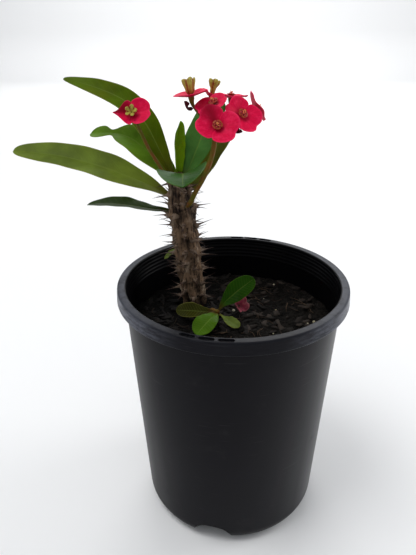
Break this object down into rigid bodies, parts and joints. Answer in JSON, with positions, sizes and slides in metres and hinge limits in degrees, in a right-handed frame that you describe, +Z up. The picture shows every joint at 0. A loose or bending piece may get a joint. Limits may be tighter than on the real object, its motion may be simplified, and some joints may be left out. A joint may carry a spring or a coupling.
{
  "type": "potted crown-of-thorns euphorbia",
  "caption": "Thorny-stemmed flowering euphorbia with long leaves and paired red bracts, growing in a black nursery pot.",
  "frame": {"origin": "middle of the pot's flat underside, on the ground", "axes": "+Z up along the pot's axis, -Y towards the front of the plant, +X to the right seen from the front"},
  "size_m": [0.2929, 0.2012, 0.3978],
  "materials": {
    "pot_plastic": "satin black moulded plastic, lighter at the rim",
    "potting_mix": "dark damp potting mix with bark slivers",
    "bark": "grey-brown ridged bark with darker thorns",
    "leaf_green": "smooth semi-matt green leaf",
    "leaf_dark": "smooth semi-matt dark blue-green leaf",
    "leaf_olive": "dull olive older leaf",
    "leaf_young": "bright green young leaf",
    "stalk": "smooth brown-green stalk",
    "bract_red": "velvety crimson-pink bract",
    "bract_dark": "dark wine-red scale",
    "bract_faded": "faded and drying pink bract",
    "cup_green": "pale yellow-green young cup",
    "cup_orange": "orange-brown glands round a red middle"
  },
  "bodies": {
    "root": {"pot": "pot_plastic", "soil": "potting_mix", "stem": "bark", "leaf_arching_left": "leaf_green", "leaf_long_left": "leaf_olive", "leaf_low_left": "leaf_dark", "leaf_twisted_back": "leaf_green", "leaf_upright_young": "leaf_young", "leaf_broad_right": "leaf_dark", "leaf_behind_right": "leaf_olive", "leaf_front": "leaf_dark", "leaf_small_back": "leaf_olive", "shoot_leaf_left": "leaf_olive", "shoot_leaf_up": "leaf_young", "shoot_leaf_front": "leaf_young", "shoot_leaf_small": "leaf_olive", "single_stalk": "stalk", "cluster_stalk": "stalk", "shoot_stem": "stalk", "bracteole_left": "bract_dark", "bracteole_right": "bract_dark", "fallen_bloom": "bract_faded", "bracts_single": "bract_red", "cup_single": "cup_green", "bracts_front": "bract_red", "cup_front": "cup_orange", "bracts_right": "bract_red", "cup_right": "cup_orange", "bracts_far_right": "bract_red", "cup_far_right": "cup_orange", "bracts_top": "bract_red", "cup_top": "cup_orange", "bracts_left": "bract_red", "cup_left": "cup_orange", "bracts_tall_left": "bract_red", "cup_tall_left": "cup_green", "bracts_tall_right": "bract_red", "cup_tall_right": "cup_green"}
  },
  "joints": []
}
